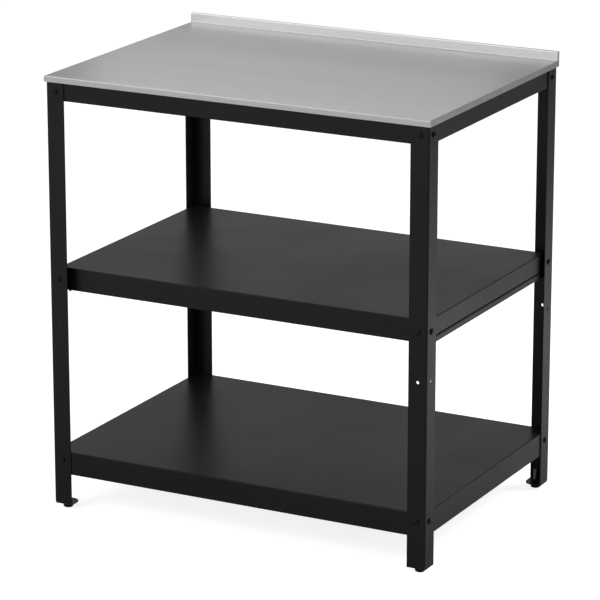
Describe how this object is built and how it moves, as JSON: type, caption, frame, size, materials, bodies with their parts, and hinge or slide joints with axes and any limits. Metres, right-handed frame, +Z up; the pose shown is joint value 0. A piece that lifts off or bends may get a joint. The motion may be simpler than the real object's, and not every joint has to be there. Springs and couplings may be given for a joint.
{
  "type": "outdoor shelving unit",
  "caption": "Free-standing outdoor shelving unit: black angle-steel posts, stainless worktop with a rear upstand, two black sheet shelves and levelling feet.",
  "frame": {"origin": "on the floor under the centre of the unit", "axes": "+Z up, +X to the right seen from the front, -Y to the front, upstand at +Y"},
  "size_m": [0.86, 0.61, 0.94],
  "materials": {
    "black_powder_coat": "fine-textured matt black powder coat",
    "stainless_sheet": "brushed stainless steel, grain along the width",
    "galvanised_sheet": "galvanised sheet",
    "black_screw": "black coated screw heads",
    "zinc_steel": "bright zinc plating",
    "glide_plastic": "matt black moulded plastic"
  },
  "bodies": {
    "frame": {"foot_nuts": "black_powder_coat", "post_front_left": "black_powder_coat", "post_front_right": "black_powder_coat", "post_rear_left": "black_powder_coat", "post_rear_right": "black_powder_coat", "top_rail_front": "black_powder_coat", "top_rail_rear": "black_powder_coat", "top_rail_left": "black_powder_coat", "top_rail_right": "black_powder_coat", "worktop": "stainless_sheet", "worktop_stiffener_left": "galvanised_sheet", "worktop_stiffener_right": "galvanised_sheet", "shelf_bottom": "black_powder_coat", "shelf_bottom_stiffener": "black_powder_coat", "shelf_middle": "black_powder_coat", "shelf_middle_stiffener": "black_powder_coat", "shelf_carrier_left": "black_powder_coat", "shelf_carrier_right": "black_powder_coat", "frame_screws_top": "black_screw", "frame_nuts_top": "black_powder_coat", "frame_screws_middle": "black_screw", "frame_nuts_middle": "black_powder_coat", "frame_screws_bottom": "black_screw", "frame_nuts_bottom": "black_powder_coat", "worktop_screws": "black_screw", "worktop_nuts": "zinc_steel"},
    "foot_front_left": {"foot_glide_front_left": "glide_plastic", "foot_stud_front_left": "zinc_steel"},
    "foot_front_right": {"foot_glide_front_right": "glide_plastic", "foot_stud_front_right": "zinc_steel"},
    "foot_rear_left": {"foot_glide_rear_left": "glide_plastic", "foot_stud_rear_left": "zinc_steel"},
    "foot_rear_right": {"foot_glide_rear_right": "glide_plastic", "foot_stud_rear_right": "zinc_steel"}
  },
  "joints": [
    {"name": "foot_front_left_screw", "type": "slide", "parent": "frame", "child": "foot_front_left", "axis": [0, 0, 1], "range_m": [-0.01, 0.002]},
    {"name": "foot_front_right_screw", "type": "slide", "parent": "frame", "child": "foot_front_right", "axis": [0, 0, 1], "range_m": [-0.01, 0.002]},
    {"name": "foot_rear_left_screw", "type": "slide", "parent": "frame", "child": "foot_rear_left", "axis": [0, 0, 1], "range_m": [-0.01, 0.002]},
    {"name": "foot_rear_right_screw", "type": "slide", "parent": "frame", "child": "foot_rear_right", "axis": [0, 0, 1], "range_m": [-0.01, 0.002]}
  ]
}
